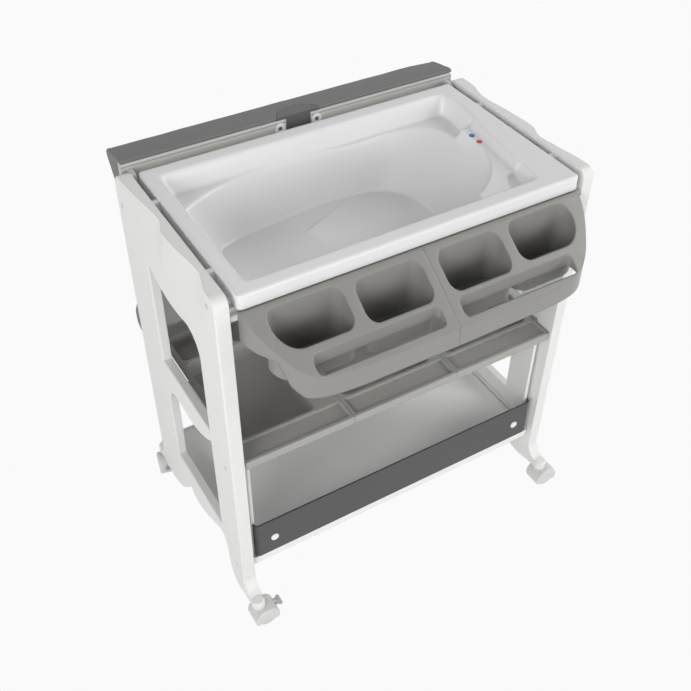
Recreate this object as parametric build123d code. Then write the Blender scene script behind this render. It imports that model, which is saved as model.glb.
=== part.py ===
from build123d import *
import math
import os

# Fits between neighbouring pieces
seat_gap = 0.3
running_gap = 0.05
cut_margin = 5.0

# Whole table
table_width = 820.0
table_centre_y = 21.0
tub_top = 901.0
panel_rise = 1.0
panel_top = tub_top + panel_rise
panel_thickness = 28.0
panel_inner = table_width / 2 - panel_thickness
panel_front = -226.0
panel_rear = 231.0
front_corner_radius = 20.0
rear_corner_radius = 24.0
pivot_y = 217.0
pivot_drop = 15.0
pivot_z = tub_top - pivot_drop
edge_softening = 4.0

# Feet and arched underside of a side panel
caster_x = panel_inner + panel_thickness / 2
caster_y = 262.0
foot_start = 110.0
foot_top = 75.0
foot_bottom = 58.0
foot_curve_shares = [(0.0, 0.0), (0.14, 0.42), (0.44, 0.78), (0.76, 0.95), (1.0, 1.0)]
arch_curve = [(-240.0, 58.0), (-222.0, 56.0), (-200.0, 52.0), (-180.0, 55.0), (-163.0, 76.0), (-153.0, 110.0),
              (-147.0, 150.0), (-132.0, 175.0), (-110.0, 171.0), (-68.0, 150.0), (-16.0, 129.0), (14.0, 125.0),
              (34.0, 132.0), (51.0, 143.0), (68.0, 124.0), (88.0, 98.0), (110.0, 77.0), (137.0, 62.0),
              (165.0, 53.0), (195.0, 50.5), (218.0, 54.0), (240.0, 58.0)]
socket_radius = 15.0
socket_top = 78.0
socket_rounding = 6.0

# Windows and inner pocket of a side panel
window_half_width = 117.0
window_shift = -12.0
upper_window = (505.0, 771.0, 738.0)
lower_window = (205.0, 474.0, 434.0)
window_corner = 20.0
upper_window_sweep = 50.0
lower_window_sweep = 64.0
pocket_depth = 8.0
pocket_y = (-178.0, 172.0)
pocket_low = 165.0
pocket_top_drop = 26.0
pocket_corner = 24.0

# Waved outer top edge of a side panel, as (y, depth) pairs
left_wave = [(-226.0, 0.0), (-212.0, 0.0), (-193.0, 1.0), (-172.0, 6.0), (-155.0, 11.5), (-128.0, 15.0),
             (-78.0, 9.0), (-23.0, 4.4), (8.0, 6.5), (28.0, 15.0), (61.0, 15.5), (133.0, 7.0),
             (188.0, 2.5), (231.0, 0.5)]
right_wave = [(-226.0, 0.5), (-205.0, 2.0), (-158.0, 7.0), (-95.0, 15.5), (-66.0, 15.0), (-46.0, 6.5),
              (0.0, 4.4), (60.0, 9.0), (112.0, 15.0), (140.0, 11.5), (158.0, 6.0), (182.0, 1.0),
              (205.0, 0.0), (231.0, 0.0)]
wave_height = 90.0

# Screws in the outer faces, at shares of the panel's height
screw_y = (207.0, -195.0, -195.0, -196.0, 221.0)
screw_height_shares = (0.929, 0.970, 0.510, 0.154, 0.152)
screw_head_radius = 5.0
screw_head_height = 2.6
screw_shank_radius = 2.5
screw_length = 22.0

# Cross rails
top_rail_y = ((-222.0, -202.0), (192.0, 209.0))
top_rail_height = 22.7
mid_rail_y = ((-208.0, -184.0), (196.5, 213.0))
mid_rail_height = 22.0
bottom_rail_y = ((-204.0, -180.0), (190.0, 210.0))
bottom_rail_height = 18.0
rail_rebate_depth = 8.0
rail_rebate_height = 10.7

# Bathtub rim and recess
tub_side_gap = 14.0
tub_half_width = panel_inner - tub_side_gap
tub_y = (-229.0, 211.5)
lip_height = 32.0
lip_wall = 4.0
tub_corner = 10.0
tub_rounding = 5.0
recess_outline = [(-338.0, -197.0), (290.0, -197.0), (336.0, 140.0), (322.0, 175.0), (-338.0, 175.0)]
recess_foot = [(-338.0, -184.0), (284.0, -184.0), (325.0, 130.0), (312.0, 162.0), (-338.0, 162.0)]
recess_corner = 12.0
recess_depth = 41.0
shell_wall = 3.0
side_rib_y = (105.0, -136.0)
side_rib_width = 12.0
platform_outline = [(150.0, -199.0), (290.0, -199.0), (330.0, 62.0), (240.0, 62.0)]
platform_drop = 16.0

# Bathtub hollow, as closed outlines of its upper edge and of its floor
cavity_y = -9.5
cavity_depth = 153.0
cavity_floor = tub_top - cavity_depth
cavity_top_outline = [(-329.0, -9.0), (-328.0, -95.0), (-318.0, -124.0), (-264.0, -152.0), (-201.0, -171.0),
                      (-115.0, -178.0), (0.0, -178.0), (90.0, -174.0), (172.0, -158.0), (228.0, -119.0),
                      (261.0, -72.0), (279.0, -20.0), (284.0, 30.0), (278.0, 80.0), (258.0, 120.0),
                      (220.0, 143.0), (170.0, 151.0), (90.0, 150.0), (10.0, 156.0), (-115.0, 158.0),
                      (-201.0, 151.0), (-264.0, 132.0), (-318.0, 104.0), (-328.0, 76.0)]
cavity_floor_outline = [(-272.0, -9.0), (-270.0, -72.0), (-260.0, -106.0), (-215.0, -131.0), (-160.0, -139.0),
                        (-95.0, -147.0), (-10.0, -155.0), (60.0, -154.0), (110.0, -146.0), (146.0, -124.0),
                        (168.0, -90.0), (183.0, -40.0), (187.0, 0.0), (184.0, 40.0), (170.0, 75.0),
                        (146.0, 104.0), (112.0, 124.0), (55.0, 134.0), (-10.0, 137.0), (-95.0, 128.0),
                        (-160.0, 119.0), (-215.0, 110.0), (-260.0, 90.0), (-270.0, 54.0)]
cavity_floor_rounding = 14.0
soap_outline = [(234.0, -183.0), (285.0, -183.0), (298.0, -128.0), (270.0, -128.0), (256.0, -142.0)]
soap_corner = 7.0
soap_depth = 9.0

# Water temperature markers at the rounded end
marker_radius = 6.0
marker_thickness = 1.2
marker_places = ((292.0, 19.0), (290.5, -9.0))

# Drain
drain_x = 100.0
drain_y = -90.0
drain_bore = 9.0
drain_wall = 4.0
drain_flange_radius = 20.0
drain_flange_thickness = 2.0
drain_length = 34.0
drain_tail_radius = 11.5
drain_tail_length = 24.0
drain_nut_radius = 20.0
drain_nut_height = 8.0
plug_head_radius = 14.0
plug_head_height = 3.0
plug_depth = 12.0
plug_knob_radius = 4.0
plug_knob_height = 8.0

# Organizer modules, the left one given and the right one mirrored
organizer_outline = [(-0.2, -222.3), (-0.2, -364.0), (-130.0, -363.0), (-257.0, -358.0), (-283.0, -352.0),
                     (-310.0, -336.0), (-332.0, -309.5), (-350.0, -280.5), (-364.0, -247.0), (-367.0, -222.3)]
organizer_inner = [(-3.7, -226.0), (-3.7, -360.0), (-130.0, -359.0), (-256.0, -354.0), (-281.0, -348.0),
                   (-307.0, -333.0), (-328.5, -307.0), (-346.0, -279.0), (-360.0, -246.0), (-363.0, -226.0)]

# Deck and lower edge of an organizer, as y and the drop below the tub's rim
deck_line = [(-222.3, 35.0), (-229.0, 35.0), (-237.0, 38.5), (-285.0, 71.0), (-328.0, 102.0), (-364.0, 130.0)]
skirt_line = [(-364.0, 171.0), (-340.0, 170.0), (-322.0, 149.0), (-303.0, 101.0), (-222.3, 101.0)]
deck_thickness = 4.0
deck_reach = 80.0
cup_outer = ((-328.0, -180.0), (-308.0, -238.0))
cup_inner = ((-158.0, -17.0), (-313.0, -242.0))
cup_depth = 156.0
cup_floor = tub_top - cup_depth
cup_wall = 3.0
cup_corner = 22.0
cup_sweep = 46.0
slot_x = (-283.0, -20.0)
slot_y = (-352.0, -320.0)
slot_corner = 10.0
slot_wall_height = 28.0
tongue_x = (-340.0, -20.0)
tongue_thickness = 6.0

# Middle shelf trays
tray_splits = (-378.0, -130.0, 126.0, 378.0)
tray_split_gap = 0.6
tray_y = (-222.0, 212.0)
tray_top = 482.0
tray_deck = 10.7
tray_skirt_height = 20.0
tray_skirt_thickness = 3.7
tray_recess_x = ((-366.0, -186.0), (-120.0, 99.0), (138.0, 366.0))
tray_recess_y = ((-161.0, 96.0), (-161.0, 190.0), (-161.0, 96.0))
tray_recess_depth = 45.0
tray_wall = 3.0
tray_corner = 16.0
tray_channel_y = (-214.0, -168.0)
tray_channel_depth = 6.0
tray_channel_inset = 6.0
small_cell_y = (104.0, 190.0)
small_cell_depth = 28.0
small_cell_wall = 4.0
small_cell_count = 3

# Bottom shelf and its guard
shelf_half_width = 379.0
shelf_y = (-217.0, 214.0)
shelf_top = 156.0
shelf_rim_top = 159.0
shelf_bottom = 141.0
shelf_rim_wall = 4.0
shelf_corner = 8.0
guard_half_width = 370.0
guard_height = 103.0
guard_thickness = 4.0
guard_bend = 12.0
guard_edge = 1.5
cap_x = 325.0
cap_z = 206.0
cap_radius = 9.0
cap_height = 3.0
cap_pin_radius = 3.0
cap_pin_length = 9.0
rod_x = 366.0
rod_y = -199.0
rod_radius = 4.0

# Changing board that hangs behind the table
board_half_width = 391.5
board_thickness = 18.0
board_front_gap = 4.0
board_front = panel_rear + board_front_gap
board_rear = board_front + board_thickness
board_rise = 13.0
board_top = pivot_z + board_rise
board_height = 449.0
board_low = board_top - board_height
board_corner = 10.0
board_rail_height = 10.0
rail_top = board_top + board_rail_height
board_rail_corner = 6.0
rail_line_drop = 4.0
rail_line_depth = 0.8
rail_line_width = 1.2
groove_inset = 7.0
groove_x = panel_inner - groove_inset
groove_low_inset = 23.0
neck_slot_width = 8.0
neck_slot_depth = 5.0
head_slot_width = 16.0
head_slot_depth = 5.0

# Guide blocks and pivot pins of the board
arm_thickness = 9.0
hub_radius = 11.0
neck_width = 7.2
head_width = 15.2
head_length = 20.0
head_thickness = 4.4
pin_radius = 4.0
pin_inward = 11.3
pin_outward = 13.5
pin_end = panel_inner + pin_outward

# Mat on the board, as its reach behind the board's front and its height over the board's lower edge
mat_half_width = 391.5
mat_face = [(2, 460), (0.6, 463), (5, 466.5), (27, 464.5), (57, 460), (77, 455.5), (85.5, 448),
            (84, 436), (69, 411), (51, 379), (37, 354), (31, 342), (34, 330), (37.5, 290),
            (39, 240), (37.5, 190), (34, 142), (31, 130), (37, 117), (51, 91), (69, 59),
            (84, 34), (87, 12), (83, -6), (65, -17), (40, -20), (25, -19.5)]
mat_back_low = -17.0
mat_deepest = 85.5
mat_end_draw = 7.0
mat_end_run = 60.0

# Grip in the mat's half moon scoop, with an apron down the front of the rail
scoop_half_width = 51.0
scoop_depth = 37.0
grip_height = 6.0
grip_setback = 0.2
apron_half_width = 29.0
apron_thickness = 3.2
apron_drop = 25.0

# Ringed fixings beside the apron
button_x = 43.5
button_drop = 8.5
button_z = board_top - button_drop
button_radius = 12.0
button_height = 1.5
button_dish_radius = 5.0
button_dish_depth = 1.0
button_pin_radius = 3.0
button_pin_length = 9.0

# Casters, drawn with the stem on the Z axis and trailing toward the front
front_left_turn = 90.0
front_right_turn = 90.0
rear_left_turn = -12.0
rear_right_turn = 30.0
caster_trail = 12.0
wheel_radius = 24.0
wheel_width = 15.0
wheel_gap = 13.0
wheel_rounding = 4.0
axle_radius = 4.0
hood_clearance = 2.5
hood_wall = 3.0
cheek_gap = 0.5
cheek_wall = 2.5
hood_rounding = 5.0
hood_low = 15.0
hood_boss_radius = 11.5
web_front = 12.0
web_depth = 17.0
stem_radius = 4.5
stem_top = 72.0
stem_bottom = 49.0
lever_pivot = (-41.0, 38.0)
lever_lug_radius = 4.5
lever_lug_width = 8.0
lever_pin_radius = 2.0
lever_cheek = 3.6
lever_pedal_half = 12.0
lever_pedal_y = (-54.0, -46.0)
lever_pedal_thickness = 4.5
lever_pedal_rounding = 2.0


# Shared building steps

def block(x_span, y_span, z_span):
    """Square block that fills the three given spans."""
    size = [high - low for low, high in (x_span, y_span, z_span)]
    middle = [(low + high) / 2 for low, high in (x_span, y_span, z_span)]
    return Pos(*middle) * Box(*size)


def rounded_block(x_span, y_span, z_span, radius):
    """Block whose four upright edges are rounded."""
    body = block(x_span, y_span, z_span)
    return fillet(body.edges().filter_by(Axis.Z), radius)


def rod_between(start, end, radius):
    """Round bar from one point to another."""
    axis = Vector(*end) - Vector(*start)
    plane = Plane(origin=start, z_dir=axis.normalized())
    return extrude(plane * Circle(radius), amount=axis.length)


def flat_shape(points, radius, z_span):
    """Upright prism on a straight sided outline with rounded corners."""
    outline = make_face(Polyline(*points, close=True))
    face = fillet(outline.vertices(), radius)
    return extrude(Pos(0, 0, z_span[0]) * face, amount=z_span[1] - z_span[0])


def side_prism(points, x_span):
    """Prism along X on a closed (y, z) outline."""
    ring = Polyline(*[(x_span[0], y, z) for y, z in points], close=True)
    return extrude(make_face(ring), amount=x_span[1] - x_span[0], dir=(1, 0, 0))


# Side panels

def panel_outline(side):
    """Side view of a panel: straight sides, round top corners, flared feet, uneven arch below."""
    front_reach = caster_y + panel_front
    rear_reach = caster_y - panel_rear
    drop = foot_start - foot_top
    front_foot = [(panel_front - s * front_reach, foot_start - t * drop) for s, t in foot_curve_shares]
    rear_foot = [(panel_rear + s * rear_reach, foot_start - t * drop) for s, t in foot_curve_shares]
    arch = arch_curve if side < 0 else [(-y, z) for y, z in reversed(arch_curve)]
    front_turn = panel_front + front_corner_radius
    rear_turn = panel_rear - rear_corner_radius
    with BuildSketch(Plane.YZ) as sketch:
        with BuildLine():
            Spline(*front_foot)
            Polyline(front_foot[-1], (-caster_y, foot_bottom), arch[0])
            Spline(*arch, tangents=[(1, 0), (1, 0)])
            Polyline(arch[-1], (caster_y, foot_bottom), rear_foot[-1])
            Spline(*reversed(rear_foot))
            Line(rear_foot[0], (panel_rear, panel_top - rear_corner_radius))
            JernArc((panel_rear, panel_top - rear_corner_radius), (0, 1), rear_corner_radius, 90)
            Line((rear_turn, panel_top), (front_turn, panel_top))
            JernArc((front_turn, panel_top), (-1, 0), front_corner_radius, 90)
            Line((panel_front, panel_top - front_corner_radius), (panel_front, foot_start))
        make_face()
    return sketch.sketch


def window(levels, sweep):
    """Opening of the left panel: flat bottom, sagging top, one wide rear bottom corner."""
    bottom, top, sag = levels
    front = window_shift - window_half_width
    rear = window_shift + window_half_width
    with BuildSketch(Plane.YZ) as sketch:
        with BuildLine():
            Polyline((front, top), (front, bottom), (rear, bottom), (rear, top))
            ThreePointArc((rear, top), (window_shift, sag), (front, top))
        make_face()
        low = sketch.vertices().group_by(Axis.Z)[0].sort_by(Axis.Y)
        high = sketch.vertices().group_by(Axis.Z)[-1]
        fillet(low[-1], sweep)
        fillet([low[0]] + list(high), window_corner)
    return sketch.sketch


def wave_cut(wave):
    """Waste of the waved top edge for the right panel: full depth at the top, none lower down."""
    outside = table_width / 2 + cut_margin
    top_z = panel_top + cut_margin
    low_z = panel_top - wave_height
    grow = (wave_height + cut_margin) / wave_height
    inner = [(table_width / 2 - depth * grow, y, top_z) for y, depth in wave]
    first, last = wave[0][0] - cut_margin, wave[-1][0] + cut_margin
    edge = [(inner[0][0], first, top_z)] + inner + [(inner[-1][0], last, top_z)]
    top_ring = Wire([
        Edge.make_spline([Vector(*p) for p in edge]),
        Edge.make_line(edge[-1], (outside, last, top_z)),
        Edge.make_line((outside, last, top_z), (outside, first, top_z)),
        Edge.make_line((outside, first, top_z), edge[0]),
    ])
    near = table_width / 2 + seat_gap
    low_points = [(near, first, low_z), (near, last, low_z), (outside, last, low_z), (outside, first, low_z)]
    low_ring = Wire([Edge.make_line(a, b) for a, b in zip(low_points, low_points[1:] + low_points[:1])])
    return Solid.make_loft([low_ring, top_ring], True)


def screw_spots():
    """Places of the screws on a side panel as (y, z) pairs."""
    return [(y, panel_top * share) for y, share in zip(screw_y, screw_height_shares)]


def panel_cuts():
    """Waste of the stem bores, the pivot bore and the screw holes on the right side."""
    outer = table_width / 2
    cuts = []
    stem_bore = stem_radius + running_gap
    for y in (-caster_y, caster_y):
        bore_low = (caster_x, y, foot_bottom - cut_margin)
        cuts.append(rod_between(bore_low, (caster_x, y, stem_top + seat_gap), stem_bore))
    pivot_start = (panel_inner - cut_margin, pivot_y, pivot_z)
    cuts.append(rod_between(pivot_start, (pin_end + seat_gap, pivot_y, pivot_z), pin_radius + running_gap))
    head_floor = outer - screw_head_height
    shank_end = head_floor - screw_length - seat_gap
    for y, z in screw_spots():
        cuts.append(rod_between((head_floor, y, z), (outer + cut_margin, y, z), screw_head_radius + seat_gap))
        cuts.append(rod_between((shank_end, y, z), (outer, y, z), screw_shank_radius + seat_gap))
    return cuts


def side_panel(side):
    """Moulded side frame with two windows, inner pocket, caster sockets and a waved top edge."""
    plate = extrude(Pos(panel_inner, 0, 0) * panel_outline(side), amount=panel_thickness)
    openings = [window(upper_window, upper_window_sweep), window(lower_window, lower_window_sweep)]
    for opening in openings:
        if side > 0:
            opening = mirror(opening, Plane.XZ)
        cutter = Pos(panel_inner - cut_margin, 0, 0) * opening
        plate -= extrude(cutter, amount=panel_thickness + 2 * cut_margin)
    outer_edges = plate.faces().sort_by(Axis.X)[-1].edges()
    plate = fillet(outer_edges, edge_softening)
    pocket_z = (pocket_low, panel_top - pocket_top_drop)
    pocket = block((panel_inner - cut_margin, panel_inner + pocket_depth), pocket_y, pocket_z)
    plate -= fillet(pocket.edges().filter_by(Axis.X), pocket_corner)
    for y in (-caster_y, caster_y):
        socket = rod_between((caster_x, y, foot_bottom), (caster_x, y, socket_top), socket_radius)
        plate += fillet(socket.edges().sort_by(Axis.Z)[-1], socket_rounding)
    plate -= wave_cut(right_wave if side > 0 else left_wave)
    for cut in panel_cuts():
        plate -= cut
    return plate if side > 0 else mirror(plate, Plane.YZ)


def panel_screws(side):
    """Pan head screws sunk in the outer face of one side panel."""
    outer = table_width / 2
    screws = []
    for y, z in screw_spots():
        floor = outer - screw_head_height
        head = rod_between((floor, y, z), (outer, y, z), screw_head_radius)
        head = fillet(head.edges().sort_by(Axis.X)[-1], screw_head_height / 3)
        shank = rod_between((floor - screw_length, y, z), (floor, y, z), screw_shank_radius)
        screws.append(head + shank)
    if side < 0:
        screws = [mirror(screw, Plane.YZ) for screw in screws]
    return Compound(screws)


# Cross rails

def cross_rail(y_span, top, height):
    """Rectangular rail between the two side panels."""
    reach = panel_inner - seat_gap
    return block((-reach, reach), y_span, (top - height, top))


def top_front_rail():
    """Front rail under the tub lip, with a rebate that carries the organizer tongues."""
    top = tub_top - lip_height - seat_gap
    rail = cross_rail(top_rail_y[0], top, top_rail_height)
    front = top_rail_y[0][0]
    reach = table_width / 2
    rebate_y = (front - cut_margin, front + rail_rebate_depth)
    return rail - block((-reach, reach), rebate_y, (top - rail_rebate_height, top + cut_margin))


# Bathtub

def grown(outline, wall):
    """Outline moved outward from its middle by the wall thickness."""
    middle = (min(x for x, y in outline) + max(x for x, y in outline)) / 2
    points = []
    for x, y in outline:
        reach = math.hypot(x - middle, y - cavity_y)
        share = (reach + wall) / reach
        points.append((middle + (x - middle) * share, cavity_y + (y - cavity_y) * share))
    return points


def smooth_face(outline, z):
    """Flat face inside the smooth closed curve through an outline."""
    return make_face(Spline(*[(x, y, z) for x, y in outline], periodic=True))


def cavity(wall, bottom, top):
    """Body with the shape of the tub's hollow, larger all round by the given wall."""
    ledge = tub_top - recess_depth
    low = smooth_face(grown(cavity_floor_outline, wall), bottom)
    high = smooth_face(grown(cavity_top_outline, wall), ledge)
    body = loft([low, high], ruled=True)
    body = fillet(body.faces().sort_by(Axis.Z)[0].edges(), cavity_floor_rounding)
    if top > ledge:
        body += extrude(high, amount=top - ledge)
    return body


def recess(wall, low_z, high_z):
    """Tapered body of the recess, larger all round by the given wall."""
    centre_x = (recess_outline[0][0] + recess_outline[2][0]) / 2
    rings = []
    for outline, z in ((recess_foot, low_z), (recess_outline, high_z)):
        points = [(x + math.copysign(wall, x - centre_x), y + math.copysign(wall, y)) for x, y in outline]
        face = fillet(make_face(Polyline(*points, close=True)).vertices(), recess_corner + wall)
        rings.append(Pos(0, 0, z) * face)
    return loft(rings, ruled=True)


def bathtub():
    """Tub with a deep lip, a tapered recess with a raised platform, a smooth hollow and locating ribs."""
    ledge = tub_top - recess_depth
    x_span = (-tub_half_width, tub_half_width)
    tub = rounded_block(x_span, tub_y, (tub_top - lip_height, tub_top), tub_corner)
    tub = fillet(tub.faces().sort_by(Axis.Z)[-1].edges(), tub_rounding)
    under_x = (-tub_half_width + lip_wall, tub_half_width - lip_wall)
    under_y = (tub_y[0] + lip_wall, tub_y[1] - lip_wall)
    under_z = (tub_top - lip_height - cut_margin, tub_top - lip_wall)
    tub -= rounded_block(under_x, under_y, under_z, tub_corner - lip_wall)
    tub += recess(shell_wall, ledge - shell_wall, tub_top - lip_wall / 2)
    tub += cavity(shell_wall, cavity_floor - shell_wall, ledge)
    hollow = recess(0, ledge, tub_top)
    tub -= hollow + extrude(hollow.faces().sort_by(Axis.Z)[-1], amount=cut_margin)
    platform_top = tub_top - platform_drop
    platform = Pos(0, 0, ledge - shell_wall) * make_face(Polyline(*platform_outline, close=True))
    tub += extrude(platform, amount=platform_top - ledge + shell_wall)
    tub -= cavity(0, cavity_floor, tub_top + cut_margin)
    tub -= flat_shape(soap_outline, soap_corner, (platform_top - soap_depth, tub_top + cut_margin))
    for x_sign in (-1, 1):
        ends = sorted((x_sign * (tub_half_width - tub_rounding), x_sign * (panel_inner - seat_gap)))
        for y in side_rib_y:
            span = (y - side_rib_width / 2, y + side_rib_width / 2)
            tub += block(tuple(ends), span, (tub_top - lip_height, tub_top - tub_rounding))
    hole_z = (cavity_floor - shell_wall - cut_margin, cavity_floor + cut_margin)
    return tub - drain_round(hole_z, drain_bore + drain_wall + seat_gap)


def marker(place):
    """Round water marker on the platform beside the tub's rounded end."""
    low = tub_top - platform_drop + seat_gap
    return rod_between((*place, low), (*place, low + marker_thickness), marker_radius)


def drain_round(z_span, radius):
    """Upright round bar on the axis of the drain."""
    return rod_between((drain_x, drain_y, z_span[0]), (drain_x, drain_y, z_span[1]), radius)


def drain_fitting():
    """Flanged outlet spigot through the tub floor, with a thinner tail for a hose."""
    low = cavity_floor + seat_gap
    top = low + drain_flange_thickness
    shoulder = top - drain_length
    tail = shoulder - drain_tail_length
    body = drain_round((shoulder, top), drain_bore + drain_wall)
    body += drain_round((low, top), drain_flange_radius)
    body += drain_round((tail, shoulder), drain_tail_radius)
    return body - drain_round((tail - cut_margin, top + cut_margin), drain_bore)


def drain_nut():
    """Clamping nut under the tub floor."""
    top = cavity_floor - shell_wall - seat_gap
    low = top - drain_nut_height
    nut = extrude(Pos(drain_x, drain_y, low) * RegularPolygon(drain_nut_radius, 6), amount=drain_nut_height)
    return nut - drain_round((low - cut_margin, top + cut_margin), drain_bore + drain_wall + running_gap)


def drain_plug():
    """Lift out plug with a small knob."""
    seat = cavity_floor + drain_flange_thickness + 2 * seat_gap
    head_top = seat + plug_head_height
    body = drain_round((seat - plug_depth, seat), drain_bore - seat_gap)
    body += drain_round((seat, head_top), plug_head_radius)
    body += drain_round((head_top, head_top + plug_knob_height), plug_knob_radius)
    return fillet(body.edges().group_by(Axis.Z)[-1], plug_knob_radius / 3)


# Organizer modules

def deck_prism(lower, x_span):
    """Space below the sloping deck and above the skirt's lower edge."""
    deck = [(y, tub_top - drop - lower) for y, drop in deck_line]
    skirt = [(y, tub_top - drop) for y, drop in skirt_line]
    return side_prism(deck + skirt, x_span)


def below_deck(lower, x_span):
    """Space from the sloping deck down to well under the cups."""
    deck = [(y, tub_top - drop - lower) for y, drop in deck_line]
    low = cup_floor - deck_reach
    return side_prism(deck + [(deck_line[-1][0], low), (deck_line[0][0], low)], x_span)


def cup_shape(x_span, y_span, wall, bottom, sweep):
    """Upright prism of one cup, with a wide front outer corner where it has one."""
    grown_x = (x_span[0] - wall, x_span[1] + wall)
    grown_y = (y_span[0] - wall, y_span[1] + wall)
    body = block(grown_x, grown_y, (bottom, panel_top))
    edges = body.edges().filter_by(Axis.Z)
    outer_front = edges.sort_by(lambda e: e.center().X + e.center().Y)[0]
    others = [e for e in edges if e.center() != outer_front.center()]
    body = fillet(others, cup_corner + wall)
    outer_front = body.edges().filter_by(Axis.Z).sort_by(lambda e: e.center().X + e.center().Y)[0]
    return fillet(outer_front, sweep + wall)


def organizer_body(outline, z_span):
    """Upright body on an organizer outline whose front and end run in one smooth curve."""
    front = Spline(*outline[1:], tangents=[(-1, 0), (0, 1)])
    back = Polyline(outline[-1], outline[0], outline[1])
    return extrude(Pos(0, 0, z_span[0]) * make_face(front + back), amount=z_span[1] - z_span[0])


def organizer(side):
    """Sloping organizer module with two deep cups, a through slot and a tongue in the rail's rebate."""
    x_span = (organizer_outline[-1][0] - cut_margin, 0)
    tall = (cup_floor - deck_reach, panel_top)
    outer = organizer_body(organizer_outline, tall)
    inner = organizer_body(organizer_inner, tall)
    body = outer & deck_prism(0, x_span)
    body -= inner & below_deck(deck_thickness, x_span)
    room = below_deck(0, x_span)
    cups = [(cup_outer, cup_sweep), (cup_inner, cup_corner)]
    for (x_range, y_range), sweep in cups:
        body += cup_shape(x_range, y_range, cup_wall, cup_floor - cup_wall, sweep) & room & outer
    slot_rear = [deck_z(slot_y[1]) - slot_wall_height, panel_top]
    wall_x = (slot_x[0] - cup_wall, slot_x[1] + cup_wall)
    wall_y = (slot_y[0] - cup_wall, slot_y[1] + cup_wall)
    body += rounded_block(wall_x, wall_y, slot_rear, slot_corner + cup_wall) & room & outer
    for (x_range, y_range), sweep in cups:
        body -= cup_shape(x_range, y_range, 0, cup_floor, sweep)
    body -= rounded_block(slot_x, slot_y, (tall[0] - cut_margin, tall[1] + cut_margin), slot_corner)
    floor = tub_top - lip_height - rail_rebate_height
    tongue_y = (organizer_outline[0][1] - deck_thickness / 2, top_rail_y[0][0] + rail_rebate_depth - seat_gap)
    body += block(tongue_x, tongue_y, (floor, floor + tongue_thickness))
    return body if side < 0 else mirror(body, Plane.YZ)


def deck_z(y):
    """Height of the sloping deck at a distance from the back."""
    for (y_a, drop_a), (y_b, drop_b) in zip(deck_line, deck_line[1:]):
        if y_b <= y <= y_a:
            return tub_top - drop_a - (drop_b - drop_a) * (y - y_a) / (y_b - y_a)


# Middle shelf trays

def shelf_tray(index):
    """Shelf tray with a front lip, a cross channel and a deep recess, with small cells in the outer two."""
    x_span = (tray_splits[index] + tray_split_gap / 2, tray_splits[index + 1] - tray_split_gap / 2)
    low = tray_top - tray_deck
    tray = block(x_span, tray_y, (low, tray_top))
    skirt_y = (tray_y[0], tray_y[0] + tray_skirt_thickness)
    tray += block(x_span, skirt_y, (tray_top - tray_skirt_height, tray_top))
    recess_x, recess_y = tray_recess_x[index], tray_recess_y[index]
    floor = tray_top - tray_recess_depth
    wall_x = (recess_x[0] - tray_wall, recess_x[1] + tray_wall)
    wall_y = (recess_y[0] - tray_wall, recess_y[1] + tray_wall)
    tray += rounded_block(wall_x, wall_y, (floor - tray_wall, low), tray_corner + tray_wall)
    tray -= rounded_block(recess_x, recess_y, (floor, tray_top + cut_margin), tray_corner)
    channel_x = (x_span[0] + tray_channel_inset, x_span[1] - tray_channel_inset)
    tray -= block(channel_x, tray_channel_y, (tray_top - tray_channel_depth, tray_top + cut_margin))
    if index != 1:
        tray = with_small_cells(tray, recess_x)
    return tray


def with_small_cells(tray, x_span):
    """Row of small cells behind the recess of an outer tray."""
    floor = tray_top - small_cell_depth
    wall_x = (x_span[0] - tray_wall, x_span[1] + tray_wall)
    wall_y = (small_cell_y[0] - tray_wall, small_cell_y[1] + tray_wall)
    tray += block(wall_x, wall_y, (floor - tray_wall, tray_top - tray_deck))
    pitch = (x_span[1] - x_span[0] + small_cell_wall) / small_cell_count
    for number in range(small_cell_count):
        start = x_span[0] + number * pitch
        cell = (start, start + pitch - small_cell_wall)
        tray -= rounded_block(cell, small_cell_y, (floor, tray_top + cut_margin), tray_corner / 2)
    return tray


# Bottom shelf

def bottom_shelf():
    """Bottom shelf with a low raised rim."""
    x_span = (-shelf_half_width, shelf_half_width)
    shelf = rounded_block(x_span, shelf_y, (shelf_bottom, shelf_rim_top), shelf_corner)
    inner_x = (-shelf_half_width + shelf_rim_wall, shelf_half_width - shelf_rim_wall)
    inner_y = (shelf_y[0] + shelf_rim_wall, shelf_y[1] - shelf_rim_wall)
    inner_z = (shelf_top, shelf_rim_top + cut_margin)
    return shelf - rounded_block(inner_x, inner_y, inner_z, shelf_corner - shelf_rim_wall)


def shelf_guard():
    """Upright guard plate on the shelf's front rim, with its ends bent back."""
    front = shelf_y[0]
    low = shelf_rim_top + seat_gap
    high = low + guard_height
    cut_z = (low - cut_margin, high + cut_margin)
    outer_x = (-guard_half_width, guard_half_width)
    guard = rounded_block(outer_x, (front, front + 2 * guard_bend), (low, high), guard_bend - guard_edge / 3)
    inner_x = (-guard_half_width + guard_thickness, guard_half_width - guard_thickness)
    inner_y = (front + guard_thickness, front + 3 * guard_bend)
    guard -= rounded_block(inner_x, inner_y, cut_z, guard_bend - guard_thickness)
    guard -= block((-table_width, table_width), (front + guard_bend, front + 3 * guard_bend), cut_z)
    hole = cap_pin_radius + seat_gap
    for x in (-cap_x, cap_x):
        guard -= rod_between((x, front - cut_margin, cap_z), (x, front + cut_margin, cap_z), hole)
    return guard


def guard_cap(side):
    """Round cap with its pin through the guard."""
    x = side * cap_x
    front = shelf_y[0] - seat_gap
    head = rod_between((x, front - cap_height, cap_z), (x, front, cap_z), cap_radius)
    head = fillet(head.edges().sort_by(Axis.Y)[0], cap_height / 3)
    return head + rod_between((x, front, cap_z), (x, front + cap_pin_length, cap_z), cap_pin_radius)


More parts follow.
